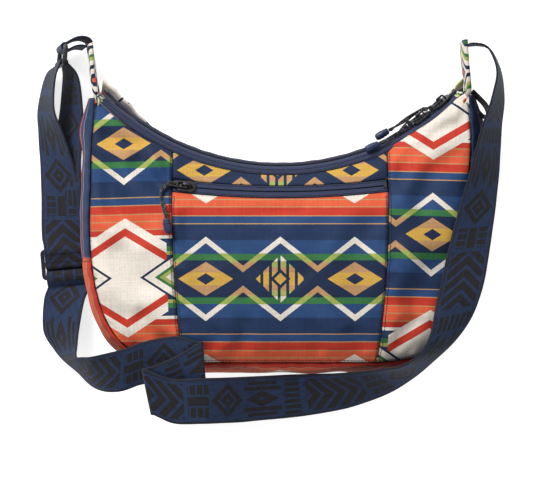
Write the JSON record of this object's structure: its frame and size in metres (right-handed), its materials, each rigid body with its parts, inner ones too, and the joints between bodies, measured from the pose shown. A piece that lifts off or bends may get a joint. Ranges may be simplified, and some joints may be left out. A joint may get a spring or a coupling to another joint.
{
  "type": "crescent shoulder bag",
  "caption": "Crescent shoulder bag of printed cloth with a curved top zip, a zipped front pocket and a wide woven strap with an adjuster.",
  "frame": {"origin": "on the flat of the bag's back, under the middle of the bag", "axes": "+X along the bag, to the right as its front is seen; +Y from its bottom to its curved mouth; +Z out of its front"},
  "size_m": [0.4169, 0.3375, 0.0973],
  "materials": {
    "print_cloth": "printed plain weave cloth",
    "red_cloth": "printed plain weave cloth, mostly red",
    "zip_tape": "woven tape",
    "zip_coil": "moulded coil",
    "lining": "plain thin cloth",
    "webbing": "jacquard woven webbing",
    "black_tape": "ribbed tape",
    "moulded": "dark satin moulding",
    "cord": "braided cord",
    "cord_end": "soft moulded end"
  },
  "bodies": {
    "bag": {"front_left_panel": "print_cloth", "front_right_panel": "print_cloth", "front_yoke": "print_cloth", "pocket_panel": "print_cloth", "back_panel": "print_cloth", "gusset": "red_cloth", "main_lining": "lining", "pocket_bag": "lining", "main_zip_front_tape": "zip_tape", "main_zip_back_tape": "zip_tape", "main_zip_coil_front": "zip_coil", "main_zip_coil_back": "zip_coil", "pocket_zip_coil_lower": "zip_coil", "pocket_zip_coil_upper": "zip_coil", "pocket_zip_lower_tape": "zip_tape", "pocket_zip_upper_tape": "zip_tape", "main_zip_stop_left": "moulded", "main_zip_stop_right": "moulded", "pocket_zip_stop_left": "moulded", "pocket_zip_stop_right": "moulded", "left_loop": "print_cloth", "right_loop": "print_cloth", "strap_ring": "moulded", "anchor_webbing": "webbing", "strap_adjuster": "moulded", "shoulder_strap": "webbing", "side_tape_loop": "black_tape"},
    "main_left_zip_slider": {"main_left_slider": "moulded"},
    "main_left_zip_pull": {"main_left_pull_tab": "moulded", "main_left_pull_cord": "cord", "main_left_cord_end": "cord_end"},
    "main_right_zip_slider": {"main_right_slider": "moulded"},
    "main_right_zip_pull": {"main_right_pull_tab": "moulded", "main_right_pull_cord": "cord", "main_right_cord_end": "cord_end"},
    "pocket_zip_slider": {"pocket_slider": "moulded"},
    "pocket_zip_pull": {"pocket_pull_tab": "moulded", "pocket_pull_cord": "cord", "pocket_cord_end": "cord_end"}
  },
  "joints": [
    {"name": "main_left_slide", "type": "hinge", "parent": "bag", "child": "main_left_zip_slider", "pos_m": [0, 0.302, 0.047], "axis": [0, 0, 1], "range_deg": [-77, 0]},
    {"name": "main_left_swing", "type": "hinge", "parent": "main_left_zip_slider", "child": "main_left_zip_pull", "pos_m": [0.12278, 0.12827, 0.04897], "axis": [-0.2209, 0.3125, -0.9239], "range_deg": [0, 100]},
    {"name": "main_right_slide", "type": "hinge", "parent": "bag", "child": "main_right_zip_slider", "pos_m": [0, 0.302, 0.047], "axis": [0, 0, 1], "range_deg": [0, 1]},
    {"name": "main_right_swing", "type": "hinge", "parent": "main_right_zip_slider", "child": "main_right_zip_pull", "pos_m": [0.14069, 0.14242, 0.04897], "axis": [-0.2531, 0.2871, -0.9239], "range_deg": [0, 100]},
    {"name": "pocket_slide", "type": "hinge", "parent": "bag", "child": "pocket_zip_slider", "pos_m": [0, 0.841, 0.068], "axis": [0, 0, 1], "range_deg": [0, 11.8]},
    {"name": "pocket_swing", "type": "hinge", "parent": "pocket_zip_slider", "child": "pocket_zip_pull", "pos_m": [-0.0807, 0.06674, 0.07131], "axis": [0.0939, 0.9014, -0.4226], "range_deg": [0, 120]}
  ]
}
